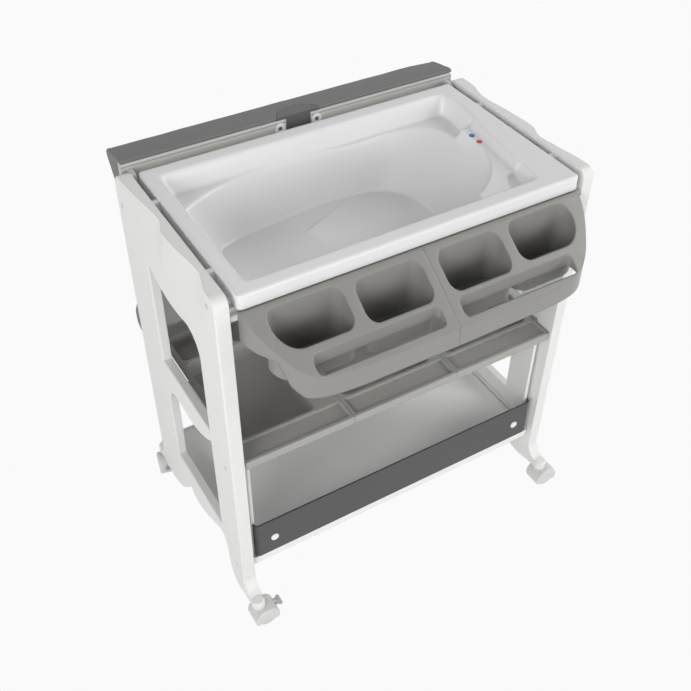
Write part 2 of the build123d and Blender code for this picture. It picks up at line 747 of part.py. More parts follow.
def upright_rod(side):
    """Upright rod between the bottom shelf and the middle front rail."""
    low = shelf_top + seat_gap
    high = tray_top - tray_deck - seat_gap - mid_rail_height - seat_gap
    return rod_between((side * rod_x, rod_y, low), (side * rod_x, rod_y, high), rod_radius)


# Changing board

def changing_board():
    """Board panel with two T grooves in its front and the seats of the grip and its fixings."""
    span = (-board_half_width, board_half_width)
    board = block(span, (board_front, board_rear), (board_low, board_top))
    board = fillet(board.edges().filter_by(Axis.Y).group_by(Axis.Z)[0], board_corner)
    groove_z = (board_low + groove_low_inset, pivot_z + head_length / 2 + 2 * seat_gap)
    head_front = board_front + neck_slot_depth
    for x in (-groove_x, groove_x):
        neck_x = (x - neck_slot_width / 2, x + neck_slot_width / 2)
        head_x = (x - head_slot_width / 2, x + head_slot_width / 2)
        board -= block(neck_x, (board_front - cut_margin, head_front), groove_z)
        board -= block(head_x, (head_front, head_front + head_slot_depth), groove_z)
    end = board_front + button_pin_length
    for x in (-button_x, button_x):
        start = (x, board_front - cut_margin, button_z)
        board -= rod_between(start, (x, end, button_z), button_pin_radius + seat_gap)
    return board - apron_seat()


def board_rail():
    """Rail along the board's upper edge, with a fine line along its front and the apron's seat."""
    span = (-board_half_width, board_half_width)
    rail = block(span, (board_front, board_rear), (board_top, rail_top))
    rail = fillet(rail.edges().filter_by(Axis.Y).group_by(Axis.Z)[-1], board_rail_corner)
    line_z = (rail_top - rail_line_drop - rail_line_width, rail_top - rail_line_drop)
    line_y = (board_front - cut_margin, board_front + rail_line_depth)
    rail -= block((-table_width, table_width), line_y, line_z)
    return rail - apron_seat()


def apron_seat():
    """Shallow seat of the grip's apron in the front of the board and its rail."""
    half = apron_half_width + seat_gap
    y_span = (board_front - cut_margin, board_front + grip_setback + apron_thickness + seat_gap)
    return block((-half, half), y_span, (rail_top - apron_drop - seat_gap, rail_top + cut_margin))


def handle_button(side):
    """Dished round ring of one grip fixing on the board's front, with its pin."""
    x = side * button_x
    outside = board_front - button_height
    head = rod_between((x, outside, button_z), (x, board_front, button_z), button_radius)
    dish_end = (x, outside + button_dish_depth, button_z)
    head -= rod_between((x, outside - cut_margin, button_z), dish_end, button_dish_radius)
    pin_end_y = board_front + button_pin_length - seat_gap
    return head + rod_between((x, board_front, button_z), (x, pin_end_y, button_z), button_pin_radius)


def mat_section(x, draw):
    """Closed section of the mat at one place along it, drawn in toward the board by a share."""
    back = board_thickness + seat_gap
    over = board_height + board_rail_height + seat_gap
    face = [(y if y < back else back + (y - back) * draw, z) for y, z in mat_face]
    corners = [face[-1], (back, mat_back_low), (back, over), (face[0][0], over), face[0]]
    curve_points = [Vector(x, board_front + y, board_low + z) for y, z in face]
    corner_points = [(x, board_front + y, board_low + z) for y, z in corners]
    lines = [Edge.make_line(a, b) for a, b in zip(corner_points, corner_points[1:])]
    return Wire([Edge.make_spline(curve_points)] + lines)


def changing_mat():
    """Padded mat with two raised long edges, sewn channels between, thinner ends and a scooped front."""
    end_draw = 1 - mat_end_draw / (mat_deepest - board_thickness)
    places = [-mat_half_width, -mat_half_width + mat_end_run, mat_half_width - mat_end_run, mat_half_width]
    shares = [end_draw, 1.0, 1.0, end_draw]
    sections = [mat_section(x, share) for x, share in zip(places, shares)]
    return Solid.make_loft(sections, True) - scoop(0)


def scoop(clearance):
    """Half moon space at the middle of the mat's front lip."""
    radius = (scoop_half_width ** 2 + scoop_depth ** 2) / (2 * scoop_depth)
    centre_y = board_front + scoop_depth - radius
    return rod_between((0, centre_y, rail_top), (0, centre_y, rail_top + 5 * grip_height), radius - clearance)


def handle_grip():
    """Half moon grip plate in the scoop, with an apron down the front of the rail and board."""
    low = rail_top + seat_gap
    top = low + grip_height
    front = board_front + grip_setback
    plate = block((-scoop_half_width, scoop_half_width), (front, board_front + scoop_depth), (low, top))
    plate = plate & scoop(2 * seat_gap)
    apron_x = (-apron_half_width, apron_half_width)
    return plate + block(apron_x, (front, front + apron_thickness), (rail_top - apron_drop, top))


def guide_block(side):
    """Arm on the pivot pin with a T head that runs in the board's groove."""
    x_span = (groove_x - arm_thickness / 2, groove_x + arm_thickness / 2)
    arm = rod_between((x_span[0], pivot_y, pivot_z), (x_span[1], pivot_y, pivot_z), hub_radius)
    arm_z = (pivot_z - hub_radius, pivot_z + hub_radius)
    arm += block(x_span, (pivot_y, board_front - 2 * seat_gap), arm_z)
    neck_x = (groove_x - neck_width / 2, groove_x + neck_width / 2)
    head_x = (groove_x - head_width / 2, groove_x + head_width / 2)
    head_front = board_front + neck_slot_depth + seat_gap
    tall = (pivot_z - head_length / 2, pivot_z + head_length / 2)
    arm += block(neck_x, (pivot_y + hub_radius / 2, head_front), tall)
    arm += block(head_x, (head_front, head_front + head_thickness), tall)
    bore_start = (x_span[0] - cut_margin, pivot_y, pivot_z)
    arm -= rod_between(bore_start, (x_span[1] + cut_margin, pivot_y, pivot_z), pin_radius + running_gap)
    return arm if side > 0 else mirror(arm, Plane.YZ)


def pivot_pin(side):
    """Pin in the side panel that carries one guide block."""
    start = side * (panel_inner - pin_inward)
    return rod_between((start, pivot_y, pivot_z), (side * pin_end, pivot_y, pivot_z), pin_radius)


# Casters

def caster_stem():
    """Plain stem that fills the bores of the socket and the hood."""
    return rod_between((0, 0, stem_bottom), (0, 0, stem_top), stem_radius)


def caster_hood(braked):
    """Domed hood over the twin wheels with a web between them, a stem boss and a lug for a lever."""
    inner_half = wheel_gap / 2 + wheel_width + cheek_gap
    outer_half = inner_half + cheek_wall
    web_half = wheel_gap / 2 - seat_gap
    centre = (-caster_trail, wheel_radius)
    inner = wheel_radius + hood_clearance
    outer = inner + hood_wall
    far = 2 * outer
    hood = rod_between((-outer_half, *centre), (outer_half, *centre), outer)
    hood = fillet(hood.edges().filter_by(GeomType.CIRCLE), hood_rounding)
    hood -= rod_between((-inner_half, *centre), (inner_half, *centre), inner)
    hood += rod_between((-web_half, *centre), (web_half, *centre), inner)
    hood -= block((-far, far), (-far, far), (-far, hood_low))
    top = foot_bottom - seat_gap
    hood += rod_between((0, 0, centre[1] + inner), (0, 0, top), hood_boss_radius)
    hood += block((-web_half, web_half), (-web_front, web_front), (stem_bottom - web_depth / 2, top))
    hood -= rod_between((-inner_half, *centre), (inner_half, *centre), axle_radius + running_gap)
    hood -= rod_between((0, 0, stem_bottom - seat_gap), (0, 0, top + cut_margin), stem_radius + running_gap)
    return with_lug(hood) if braked else hood


def with_lug(hood):
    """Hood with the bored lug that carries the brake lever."""
    y, z = lever_pivot
    half = lever_lug_width / 2
    hood += rod_between((-half, y, z), (half, y, z), lever_lug_radius)
    hood += block((-half, half), (y, -caster_trail), (z - lever_lug_radius, z + lever_lug_radius))
    return hood - rod_between((-half, y, z), (half, y, z), lever_pin_radius + running_gap)


def caster_wheels():
    """Twin wheels joined by their axle."""
    centre = (-caster_trail, wheel_radius)
    reach = wheel_gap / 2 + wheel_width
    body = rod_between((-reach, *centre), (reach, *centre), axle_radius)
    for side in (-1, 1):
        wheel = rod_between((side * wheel_gap / 2, *centre), (side * reach, *centre), wheel_radius)
        body += fillet(wheel.edges().filter_by(GeomType.CIRCLE), wheel_rounding)
    return body


def brake_lever():
    """Foot lever with a fork and pin on the hood's lug."""
    y, z = lever_pivot
    lug_half = lever_lug_width / 2 + seat_gap
    reach = lug_half + lever_cheek
    lever = rod_between((-reach, y, z), (reach, y, z), lever_pin_radius)
    half = lever_pedal_thickness / 2
    for side in (-1, 1):
        span = tuple(sorted((side * lug_half, side * reach)))
        lever += rod_between((span[0], y, z), (span[1], y, z), half)
        lever += block(span, (lever_pedal_y[1] - half, y), (z - half, z + half))
    pedal = block((-lever_pedal_half, lever_pedal_half), lever_pedal_y, (z - half, z + half))
    pedal = fillet(pedal.edges().filter_by(Axis.Z), lever_pedal_rounding)
    return lever + pedal


# All pieces by name

def all_pieces():
    """Every piece of the table with its name."""
    high_top = tub_top - lip_height - seat_gap
    mid_top = tray_top - tray_deck - seat_gap
    low_top = shelf_bottom - seat_gap
    pieces = {
        "bathtub": bathtub(),
        "drain_fitting": drain_fitting(),
        "drain_nut": drain_nut(),
        "drain_plug": drain_plug(),
        "cold_marker": marker(marker_places[0]),
        "hot_marker": marker(marker_places[1]),
        "top_rail_front": top_front_rail(),
        "top_rail_rear": cross_rail(top_rail_y[1], high_top, top_rail_height),
        "mid_rail_front": cross_rail(mid_rail_y[0], mid_top, mid_rail_height),
        "mid_rail_rear": cross_rail(mid_rail_y[1], mid_top, mid_rail_height),
        "bottom_rail_front": cross_rail(bottom_rail_y[0], low_top, bottom_rail_height),
        "bottom_rail_rear": cross_rail(bottom_rail_y[1], low_top, bottom_rail_height),
        "bottom_shelf": bottom_shelf(),
        "shelf_guard": shelf_guard(),
        "changing_board": changing_board(),
        "board_rail": board_rail(),
        "changing_mat": changing_mat(),
        "handle_grip": handle_grip(),
    }
    for index, name in enumerate(("left", "middle", "right")):
        pieces[f"shelf_tray_{name}"] = shelf_tray(index)
    for name, side in (("left", -1), ("right", 1)):
        pieces[f"{name}_side_panel"] = side_panel(side)
        pieces[f"panel_screws_{name}"] = panel_screws(side)
        pieces[f"organizer_{name}"] = organizer(side)
        pieces[f"guard_cap_{name}"] = guard_cap(side)
        pieces[f"upright_rod_{name}"] = upright_rod(side)
        pieces[f"handle_button_{name}"] = handle_button(side)
        pieces[f"guide_block_{name}"] = guide_block(side)
        pieces[f"pivot_pin_{name}"] = pivot_pin(side)
    corners = [("front_left", -1, -1, front_left_turn, True), ("front_right", 1, -1, front_right_turn, False),
               ("rear_left", -1, 1, rear_left_turn, True), ("rear_right", 1, 1, rear_right_turn, False)]
    for corner, x_side, y_side, turn, braked in corners:
        place = Pos(x_side * caster_x, y_side * caster_y, 0) * Rot(0, 0, turn)
        pieces[f"caster_stem_{corner}"] = place * caster_stem()
        pieces[f"caster_hood_{corner}"] = place * caster_hood(braked)
        pieces[f"caster_wheels_{corner}"] = place * caster_wheels()
        if braked:
            pieces[f"brake_lever_{corner}"] = place * brake_lever()
    return pieces


os.makedirs("parts", exist_ok=True)
for name, shape in all_pieces().items():
    export_step(Pos(0, table_centre_y, 0) * shape, f"parts/{name}.step")
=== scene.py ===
import bpy
import math
import numpy as np
from mathutils import Matrix, Vector


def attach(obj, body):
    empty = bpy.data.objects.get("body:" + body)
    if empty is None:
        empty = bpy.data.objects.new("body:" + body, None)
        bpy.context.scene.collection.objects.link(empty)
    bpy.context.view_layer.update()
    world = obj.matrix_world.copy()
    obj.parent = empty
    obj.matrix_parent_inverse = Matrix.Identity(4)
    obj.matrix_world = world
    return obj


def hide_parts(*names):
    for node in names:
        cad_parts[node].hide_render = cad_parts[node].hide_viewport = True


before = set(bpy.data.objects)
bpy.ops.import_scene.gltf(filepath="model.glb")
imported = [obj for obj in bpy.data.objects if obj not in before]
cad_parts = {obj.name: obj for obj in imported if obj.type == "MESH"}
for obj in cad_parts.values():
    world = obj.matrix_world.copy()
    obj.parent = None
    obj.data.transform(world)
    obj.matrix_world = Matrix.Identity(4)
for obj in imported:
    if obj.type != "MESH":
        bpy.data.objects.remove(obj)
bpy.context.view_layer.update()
scene = bpy.context.scene

# Camera
# Stands high at the front left of the table, where the picture was taken from.
# Focal length and place come from a fit to the straight edges of the picture.
forward = Vector((0.38139, 0.63183, -0.67478)).normalized()
level_right = forward.cross(Vector((0, 0, 1))).normalized()
level_up = level_right.cross(forward)
roll = 0.0107
camera_place = (-0.8305, -1.3179, 1.8875)
right = math.cos(roll) * level_right + math.sin(roll) * level_up
up = math.cos(roll) * level_up - math.sin(roll) * level_right
camera_data = bpy.data.cameras.new("camera")
camera = bpy.data.objects.new("camera", camera_data)
scene.collection.objects.link(camera)
scene.camera = camera
camera_data.sensor_width = 36
camera_data.lens = 49.13
camera_data.shift_x = 0.0009
camera_data.shift_y = -0.0022
camera_data.clip_end = 50
turn = Matrix((right, up, -forward)).transposed().to_4x4()
camera.matrix_world = Matrix.Translation(camera_place) @ turn

# Light and floor
# Pale room, brighter toward the horizon than overhead, with broad lamps on the left, in front,
# on the right and behind. The floor is a plain pale sheet, and it and the room show one even
# backdrop to the camera and in reflections.
scene.view_settings.view_transform = "Standard"
backdrop_colour = (0.955, 0.955, 0.955, 1)
world = bpy.data.worlds.new("studio")
scene.world = world
world.use_nodes = True
sky = world.node_tree.nodes["Background"]
sky.inputs["Color"].default_value = (1.0, 1.0, 1.0, 1)
direction = world.node_tree.nodes.new("ShaderNodeTexCoord")
height = world.node_tree.nodes.new("ShaderNodeSeparateXYZ")
room = world.node_tree.nodes.new("ShaderNodeMapRange")
room.inputs["From Min"].default_value = 0.0
room.inputs["From Max"].default_value = 0.9
room.inputs["To Min"].default_value = 0.82
room.inputs["To Max"].default_value = 0.02
world.node_tree.links.new(direction.outputs["Generated"], height.inputs["Vector"])
world.node_tree.links.new(height.outputs["Z"], room.inputs["Value"])
world.node_tree.links.new(room.outputs["Result"], sky.inputs["Strength"])


def seen_ray(tree):
    """Socket that is 1 for camera, glossy and transmission rays and 0 for all others.
    It is the largest of the three ray flags."""
    path = tree.nodes.new("ShaderNodeLightPath")
    seen = path.outputs["Is Camera Ray"]
    for ray in ("Is Glossy Ray", "Is Transmission Ray"):
        either = tree.nodes.new("ShaderNodeMath")
        either.operation = "MAXIMUM"
        tree.links.new(seen, either.inputs[0])
        tree.links.new(path.outputs[ray], either.inputs[1])
        seen = either.outputs[0]
    return seen


plain = world.node_tree.nodes.new("ShaderNodeBackground")
plain.inputs["Color"].default_value = backdrop_colour
backdrop = world.node_tree.nodes.new("ShaderNodeMixShader")
world.node_tree.links.new(seen_ray(world.node_tree), backdrop.inputs["Fac"])
world.node_tree.links.new(sky.outputs[0], backdrop.inputs[1])
world.node_tree.links.new(plain.outputs[0], backdrop.inputs[2])
world.node_tree.links.new(backdrop.outputs[0], world.node_tree.nodes["World Output"].inputs["Surface"])


def area_lamp(name, place, target, size, power):
    """Square lamp at a place, turned to face a target."""
    data = bpy.data.lights.new(name, "AREA")
    data.size = size
    data.energy = power
    lamp = bpy.data.objects.new(name, data)
    scene.collection.objects.link(lamp)
    lamp.location = place
    lamp.rotation_euler = (Vector(target) - Vector(place)).to_track_quat("-Z", "Y").to_euler()


area_lamp("key", (-3.0, -1.9, 2.0), (0, 0, 0.5), 2.0, 70)
area_lamp("front", (0.5, -3.4, 0.8), (0, 0, 0.35), 2.0, 30)
area_lamp("right", (3.0, -0.9, 2.3), (0, 0, 0.8), 2.0, 60)
area_lamp("rear", (0.6, 1.6, 3.2), (0, 0, 0.8), 1.6, 12)

floor_reach = 12
floor_corners = [(x * floor_reach, y * floor_reach, 0) for x, y in ((-1, -1), (1, -1), (1, 1), (-1, 1))]
floor_mesh = bpy.data.meshes.new("floor")
floor_mesh.from_pydata(floor_corners, [], [(0, 1, 2, 3)])
floor = bpy.data.objects.new("floor", floor_mesh)
scene.collection.objects.link(floor)
paper = bpy.data.materials.new("paper")
paper.use_nodes = True
tree = paper.node_tree
tree.nodes.clear()
out = tree.nodes.new("ShaderNodeOutputMaterial")
mix = tree.nodes.new("ShaderNodeMixShader")
matt = tree.nodes.new("ShaderNodeBsdfDiffuse")
glow = tree.nodes.new("ShaderNodeEmission")
matt.inputs["Color"].default_value = (0.72, 0.72, 0.715, 1)
glow.inputs["Color"].default_value = backdrop_colour
glow.inputs["Strength"].default_value = 1.0
tree.links.new(seen_ray(tree), mix.inputs["Fac"])
tree.links.new(matt.outputs[0], mix.inputs[1])
tree.links.new(glow.outputs[0], mix.inputs[2])
tree.links.new(mix.outputs[0], out.inputs["Surface"])
floor_mesh.materials.append(paper)

# Side panels
# Two moulded panels of satin white plastic, each with two windows, a waved top and curved feet.
# They carry everything else, and the right one is the left one turned round.


def plastic(name, colour, roughness, edge, grain=0.0, mottle=0.02, coat=0.0, metal=0.0):
    """Finish with softened edges and a fine moulded grain, drawn in object space.
    One broad noise scales its colour by 1 - mottle to 1 + mottle and its roughness by 0.92 to 1.08."""
    material = bpy.data.materials.new(name)
    material.use_nodes = True
    tree = material.node_tree
    shader = tree.nodes["Principled BSDF"]
    place = tree.nodes.new("ShaderNodeTexCoord")
    broad = tree.nodes.new("ShaderNodeTexNoise")
    broad.inputs["Scale"].default_value = 9
    broad.inputs["Detail"].default_value = 3
    tree.links.new(place.outputs["Object"], broad.inputs["Vector"])
    tint = tree.nodes.new("ShaderNodeMapRange")
    tint.inputs["To Min"].default_value = 1 - mottle
    tint.inputs["To Max"].default_value = 1 + mottle
    tree.links.new(broad.outputs["Fac"], tint.inputs["Value"])
    scale = tree.nodes.new("ShaderNodeVectorMath")
    scale.operation = "SCALE"
    scale.inputs[0].default_value = colour
    tree.links.new(tint.outputs["Result"], scale.inputs["Scale"])
    tree.links.new(scale.outputs["Vector"], shader.inputs["Base Color"])
    sheen = tree.nodes.new("ShaderNodeMapRange")
    sheen.inputs["To Min"].default_value = roughness * 0.92
    sheen.inputs["To Max"].default_value = roughness * 1.08
    tree.links.new(broad.outputs["Fac"], sheen.inputs["Value"])
    tree.links.new(sheen.outputs["Result"], shader.inputs["Roughness"])
    shader.inputs["Metallic"].default_value = metal
    shader.inputs["Coat Weight"].default_value = coat
    shader.inputs["Coat Roughness"].default_value = 0.22
    soft = tree.nodes.new("ShaderNodeBevel")
    soft.samples = 6
    soft.inputs["Radius"].default_value = edge
    if grain > 0:
        fine = tree.nodes.new("ShaderNodeTexNoise")
        fine.inputs["Scale"].default_value = 900
        fine.inputs["Detail"].default_value = 2
        tree.links.new(place.outputs["Object"], fine.inputs["Vector"])
        bump = tree.nodes.new("ShaderNodeBump")
        bump.inputs["Strength"].default_value = grain
        bump.inputs["Distance"].default_value = 0.0003
        tree.links.new(fine.outputs["Fac"], bump.inputs["Height"])
        tree.links.new(soft.outputs["Normal"], bump.inputs["Normal"])
        tree.links.new(bump.outputs["Normal"], shader.inputs["Normal"])
    else:
        tree.links.new(soft.outputs["Normal"], shader.inputs["Normal"])
    return material


def dress(finish, *names):
    """Gives a finish to every solid of the frame whose name begins with one of the names."""
    for name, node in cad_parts.items():
        if name.startswith(names):
            node.data.materials.clear()
            node.data.materials.append(finish)


panel_white = plastic("panel white", (0.80, 0.80, 0.785), 0.42, 0.0025, grain=0.15)
dress(panel_white, "left_side_panel", "right_side_panel")

# Cross rails, rods and screws
# Six plain white rails join the panels under the tub, the trays and the bottom shelf, and steel
# screws through the panels hold them. Two white rods stand between the guard and the trays.
rail_white = plastic("rail white", (0.72, 0.72, 0.71), 0.45, 0.0015, grain=0.1)
rod_white = plastic("rod white", (0.82, 0.82, 0.82), 0.25, 0.0005)
screw_steel = plastic("screw steel", (0.50, 0.50, 0.50), 0.30, 0.0004, mottle=0.03, metal=1.0)
dress(rail_white, "top_rail", "mid_rail", "bottom_rail")
dress(rod_white, "upright_rod")
dress(screw_steel, "panel_screws")

# Shelf trays
# Three moulded trays of light grey plastic side by side as the middle shelf, with a raised front
# lip, recesses and small cells. They lie loose on the middle rails.
tray_grey = plastic("tray grey", (0.380, 0.374, 0.355), 0.42, 0.004, grain=0.2)
dress(tray_grey, "shelf_tray")

# Bottom shelf and guard
# A white moulded shelf with a rim lies on the lowest rails. A dark grey guard stands across its
# front, with a round white cap near each end.
shelf_white = plastic("shelf white", (0.86, 0.86, 0.86), 0.38, 0.0025, grain=0.1)
guard_grey = plastic("guard grey", (0.058, 0.058, 0.058), 0.45, 0.0015, grain=0.25)
fitting_white = plastic("fitting white", (0.84, 0.84, 0.84), 0.22, 0.0012)
dress(shelf_white, "bottom_shelf")
dress(guard_grey, "shelf_guard")
dress(fitting_white, "guard_cap")

# Casters
# Four twin wheel casters turn in the panels' feet on steel stems, each under a plastic hood.
# The two on the left have a brake lever.
hood_grey = plastic("caster hood grey", (0.66, 0.66, 0.65), 0.38, 0.002, grain=0.1)
wheel_grey = plastic("caster wheel grey", (0.60, 0.60, 0.59), 0.45, 0.0015, grain=0.1)
brake_grey = plastic("brake lever grey", (0.50, 0.50, 0.49), 0.4, 0.0015, grain=0.1)
dress(screw_steel, "caster_stem")
dress(hood_grey, "caster_hood")
dress(wheel_grey, "caster_wheels")
dress(brake_grey, "brake_lever")

# Bathtub
# One moulded sheet of gloss white plastic with its lip over the front and rear rails. A nut clamps
# the drain fitting through its floor, a rubber plug shuts it, and two round markers lie on its top.
# Sizes are in millimetres.
tub_white = plastic("tub white", (0.79, 0.79, 0.795), 0.33, 0.0012, mottle=0.004, coat=0.2)
plug_rubber = plastic("plug rubber", (0.70, 0.70, 0.70), 0.6, 0.001)
cold_blue = plastic("cold mark blue", (0.015, 0.12, 0.42), 0.3, 0.0003)
hot_red = plastic("hot mark red", (0.55, 0.02, 0.02), 0.3, 0.0003)
dress(tub_white, "bathtub")
dress(fitting_white, "drain_fitting", "drain_nut")
dress(plug_rubber, "drain_plug")
dress(cold_blue, "cold_marker")
dress(hot_red, "hot_marker")
table_middle_y = 21
rim_z = 901.0
tub_half_length, tub_front_y, tub_rear_y = 368.0, -229.0, 211.5
rim_rounding = 6
edge_run = 8.0
corner_reach = 10
lip_levels = ((880, 0), (870.5, 0), (869.2, 1.2))
tub_wall = 3


def smooth_low(a, b, k):
    """Smaller of two fields, blended over a width k so that their meeting line is rounded."""
    h = np.clip(0.5 + 0.5 * (b - a) / k, 0, 1)
    return b + (a - b) * h - k * h * (1 - h)


def eased(t):
    """Smooth step from 0 to 1: three times the square of t less twice its cube."""
    t = np.clip(t, 0, 1)
    return t * t * (3 - 2 * t)


def ramp(t, k):
    """Straight rise from 0 to 1 whose two bends are rounded over a width k."""
    low = -smooth_low(-t, np.zeros_like(t), k)
    return smooth_low(low, np.ones_like(t), k)


def catmull_rom(a, b, c, d, s):
    """Catmull-Rom curve from b to c at the shares s of its way, with a before b and d after c."""
    square = (2 * a - 5 * b + 4 * c - d) * s ** 2
    cube = (3 * b - a - 3 * c + d) * s ** 3
    return 0.5 * (2 * b + (c - a) * s + square + cube)


def closed_reach(points, centre, angles):
    """Distance from a centre to a smooth closed outline at the given angles.
    The outline is a periodic Catmull-Rom curve through the points, sampled finely."""
    p = np.array(points, float)
    a, b, c, d = (np.roll(p, shift, 0) for shift in (1, 0, -1, -2))
    s = np.linspace(0, 1, 40, endpoint=False)[:, None, None]
    curve = catmull_rom(a, b, c, d, s).transpose(1, 0, 2).reshape(-1, 2) - np.array(centre)
    turns = np.arctan2(curve[:, 1], curve[:, 0])
    reach = np.hypot(curve[:, 0], curve[:, 1])
    order = np.argsort(turns)
    turns, reach = turns[order], reach[order]
    turns = np.concatenate([turns - 2 * math.pi, turns, turns + 2 * math.pi])
    return np.interp(angles, turns, np.tile(reach, 3))


def inside_lines(x, y, corners, k):
    """Distance inside a convex outline, which is the smallest distance to any of its sides.
    The corners are given in turning order and rounded by blending the sides over a width k."""
    field = None
    for (x0, y0), (x1, y1) in zip(corners, corners[1:] + corners[:1]):
        length = math.hypot(x1 - x0, y1 - y0)
        side = ((x1 - x0) * (y - y0) - (y1 - y0) * (x - x0)) / length
        field = side if field is None else smooth_low(field, side, k)
    return field


def tub_height(x, y):
    """Height of the tub's top surface over the table's own plan.
    z = rim - recess depth * R(d) - hollow depth * G(t) + platform - soap pocket + lip ridge + floor
    relief, where d is the distance inside the recess and t runs from 0 at the hollow's upper edge to
    1 at its floor edge. The ridge is a bell curve over the distance from the hollow's edge, and the
    relief is a low step on the floor that dies away from its line."""
    upper = [(-329, -9), (-328, -95), (-318, -124), (-264, -152), (-201, -171), (-115, -178),
             (0, -178), (90, -174), (172, -158), (228, -119), (261, -72), (279, -20), (284, 30),
             (278, 80), (258, 120), (220, 143), (170, 151), (90, 146), (10, 156), (-115, 158),
             (-201, 151), (-264, 132), (-318, 104), (-328, 76)]
    lower = [(-272, -9), (-270, -72), (-260, -106), (-215, -131), (-160, -139), (-95, -147),
             (-10, -155), (60, -154), (110, -146), (146, -124), (168, -90), (183, -40), (187, 0),
             (184, 40), (170, 75), (146, 104), (112, 124), (55, 134), (-10, 137), (-95, 128),
             (-160, 119), (-215, 110), (-260, 90), (-270, 54)]
    recess = [(-338, -197), (290, -197), (336, 140), (322, 175), (-338, 175)]
    platform_lines = [(150, -215), (420, -215), (420, 62), (225, 62)]
    soap_lines = [(236, -186), (292, -186), (302, -126), (264, -133)]
    recess_depth, recess_slope, recess_bend, recess_rounding = 41, 13, 0.28, 14
    hollow_depth, upper_rounding, floor_rounding = 112, 3, 4
    platform_rise, platform_slope, platform_bend, platform_rounding = 25, 9, 0.3, 12
    soap_depth, soap_slope, soap_rounding = 9, 6, 9
    ridge_rise, ridge_width, ridge_shift = 5, 4.5, 1.5
    ridge_start, ridge_start_run, ridge_end, ridge_end_run = -46, 22, 4, 16
    relief_x, relief_y, relief_cos, relief_sin = -95, 61, 0.921, 0.389
    relief_rise, relief_length, relief_edge, relief_fade = 5, 139, 9, 70
    centre = (-25.0, -10.0)
    z = np.full_like(x, rim_z)
    d = inside_lines(x, y, recess, recess_rounding)
    wall = ramp(d / recess_slope, recess_bend)
    z -= recess_depth * wall
    angle = np.arctan2(y - centre[1], x - centre[0])
    r = np.hypot(x - centre[0], y - centre[1])
    top = closed_reach(upper, centre, angle)
    low = closed_reach(lower, centre, angle)
    t = (top - r) / (top - low)
    width = top - low
    g = -smooth_low(-t, np.zeros_like(t), upper_rounding / width)
    g = smooth_low(g, np.ones_like(g), floor_rounding / width)
    outside = r - top
    platform = ramp(inside_lines(x, y, platform_lines, platform_rounding) / platform_slope, platform_bend)
    z += platform_rise * (platform * eased((outside + 1) / platform_slope) * wall)
    soap = inside_lines(x, y, soap_lines, soap_rounding)
    z -= soap_depth * eased((soap + 1) / soap_slope)
    ridge_turn = np.degrees(angle)
    ridge = np.exp(-((outside - ridge_shift) / ridge_width) ** 2)
    ridge = ridge * eased((ridge_turn - ridge_start) / ridge_start_run)
    ridge = ridge * eased((ridge_end - ridge_turn) / ridge_end_run)
    z += ridge_rise * ridge
    z -= hollow_depth * g
    across = (x - relief_x) * -relief_sin + (y - relief_y) * relief_cos
    along = ((x - relief_x) * relief_cos + (y - relief_y) * relief_sin) / relief_length
    relief = eased(-across / relief_edge) * np.exp(np.minimum(across, 0) / relief_fade)
    relief = relief * eased(along * 3) * eased((1.1 - along) * 3)
    z += relief_rise * relief * eased((t - 1.02) * 6)
    return z


def tub_lines(low, high, edge_steps, middle_steps):
    """Grid lines that crowd toward both ends, where the rim turns over its edge.
    Over edge_run at each end the spacing follows 1 less the cosine of an even turn, and the rest is
    even."""
    edge = edge_run * (1 - np.cos(np.linspace(0, math.pi / 2, edge_steps + 1)))
    middle = np.linspace(low + edge[-1], high - edge[-1], middle_steps + 1)[1:-1]
    return np.concatenate([low + edge, middle, high - edge[::-1]])


def grid_faces(rows, columns):
    """Quads of a grid, with indices running along the columns first."""
    i, j = np.meshgrid(np.arange(rows - 1), np.arange(columns - 1), indexing="ij")
    a = i * columns + j
    return np.stack([a, a + 1, a + columns + 1, a + columns], -1).reshape(-1, 4)


def piece(name, points, faces, material):
    """Smooth shaded object from its points in metres, its faces and its material."""
    mesh = bpy.data.meshes.new(name)
    mesh.from_pydata(np.asarray(points).reshape(-1, 3).tolist(), [], faces)
    mesh.polygons.foreach_set("use_smooth", np.ones(len(mesh.polygons), bool))
    mesh.materials.append(material)
    made = bpy.data.objects.new(name, mesh)
    scene.collection.objects.link(made)
    return made


tub_x = tub_lines(-tub_half_length, tub_half_length, 5, 250)
tub_y = tub_lines(tub_front_y, tub_rear_y, 5, 158)
gx, gy = np.meshgrid(tub_x, tub_y, indexing="ij")
gz = tub_height(gx, gy)
from_ends = np.minimum(gx + tub_half_length, tub_half_length - gx)
from_sides = np.minimum(gy - tub_front_y, tub_rear_y - gy)
near = np.clip(rim_rounding - np.minimum(from_ends, from_sides), 0, rim_rounding)
gz -= rim_rounding - np.sqrt(rim_rounding ** 2 - near ** 2)
past_x = np.abs(gx) - (tub_half_length - corner_reach)
past_y = np.maximum(gy - (tub_rear_y - corner_reach), tub_front_y + corner_reach - gy)
corner_x = np.clip(past_x, 0, corner_reach) / corner_reach
corner_y = np.clip(past_y, 0, corner_reach) / corner_reach
round_x = corner_reach * corner_x * np.sqrt(1 - corner_y ** 2 / 2) - corner_reach * corner_x
round_y = corner_reach * corner_y * np.sqrt(1 - corner_x ** 2 / 2) - corner_reach * corner_y
gx = gx + np.sign(gx) * round_x
gy = gy + np.sign(gy) * round_y
sheet_points = np.stack([gx, gy + table_middle_y, gz], -1) / 1000
rows, columns = gx.shape
sheet_ids = np.arange(rows * columns).reshape(rows, columns)
edge_ids = [sheet_ids[0], sheet_ids[1:, -1], sheet_ids[-1, -2::-1], sheet_ids[-2:0:-1, 0]]
ring_ids = np.concatenate(edge_ids)
edge_points = sheet_points.reshape(-1, 3)[ring_ids]
tub_middle = np.array([0.0, ((tub_front_y + tub_rear_y) / 2 + table_middle_y) / 1000])
lip_rings = []
faces = [grid_faces(rows, columns)[:, ::-1]]
above = ring_ids
